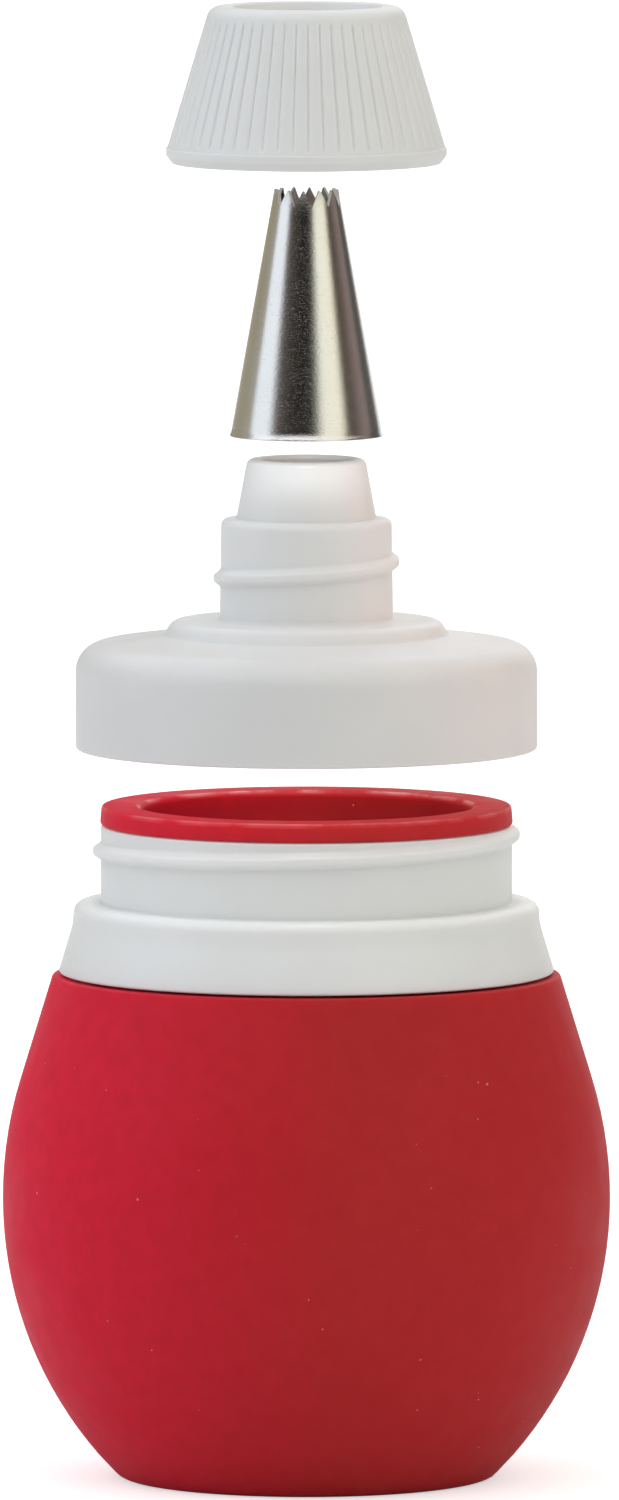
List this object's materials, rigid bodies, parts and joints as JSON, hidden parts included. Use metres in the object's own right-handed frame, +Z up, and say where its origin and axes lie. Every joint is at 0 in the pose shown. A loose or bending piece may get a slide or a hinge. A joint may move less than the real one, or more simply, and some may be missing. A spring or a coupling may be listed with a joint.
{
  "type": "squeeze cookie press",
  "caption": "Hand squeeze press for icing or soft dough: silicone bulb, threaded collar, dome lid with spout, star nozzle and ribbed coupling nut, drawn apart on one axis.",
  "frame": {"origin": "centre of the bulb's flat foot, on the plane it stands on", "axes": "+Z up along the common axis of all parts, -Y is the front, the gaps in the threads are at the back (+Y)"},
  "size_m": [0.0762, 0.0762, 0.1845],
  "materials": {
    "red_silicone": "matte moulded silicone",
    "collar_plastic": "satin moulded polypropylene",
    "lid_plastic": "satin moulded polypropylene",
    "nozzle_steel": "drawn and polished stainless sheet",
    "nut_plastic": "satin moulded polypropylene"
  },
  "bodies": {
    "bulb": {"squeeze_bulb": "red_silicone"},
    "collar": {"neck_collar": "collar_plastic"},
    "lid": {"spout_lid": "lid_plastic"},
    "nozzle": {"star_nozzle": "nozzle_steel"},
    "nut": {"coupling_nut": "nut_plastic"}
  },
  "joints": [
    {"name": "lid_lift", "type": "slide", "parent": "bulb", "child": "lid", "axis": [0, 0, 1], "range_m": [-0.01875, 0]},
    {"name": "collar_turn", "type": "hinge", "parent": "bulb", "child": "collar", "pos_m": [0, 0, 0.0635], "axis": [0, 0, 1], "range_deg": [0, 120]},
    {"name": "nozzle_lift", "type": "slide", "parent": "lid", "child": "nozzle", "axis": [0, 0, 1], "range_m": [-0.01023, 0]},
    {"name": "nut_lift", "type": "slide", "parent": "nozzle", "child": "nut", "axis": [0, 0, 1], "range_m": [-0.04597, 0]}
  ]
}
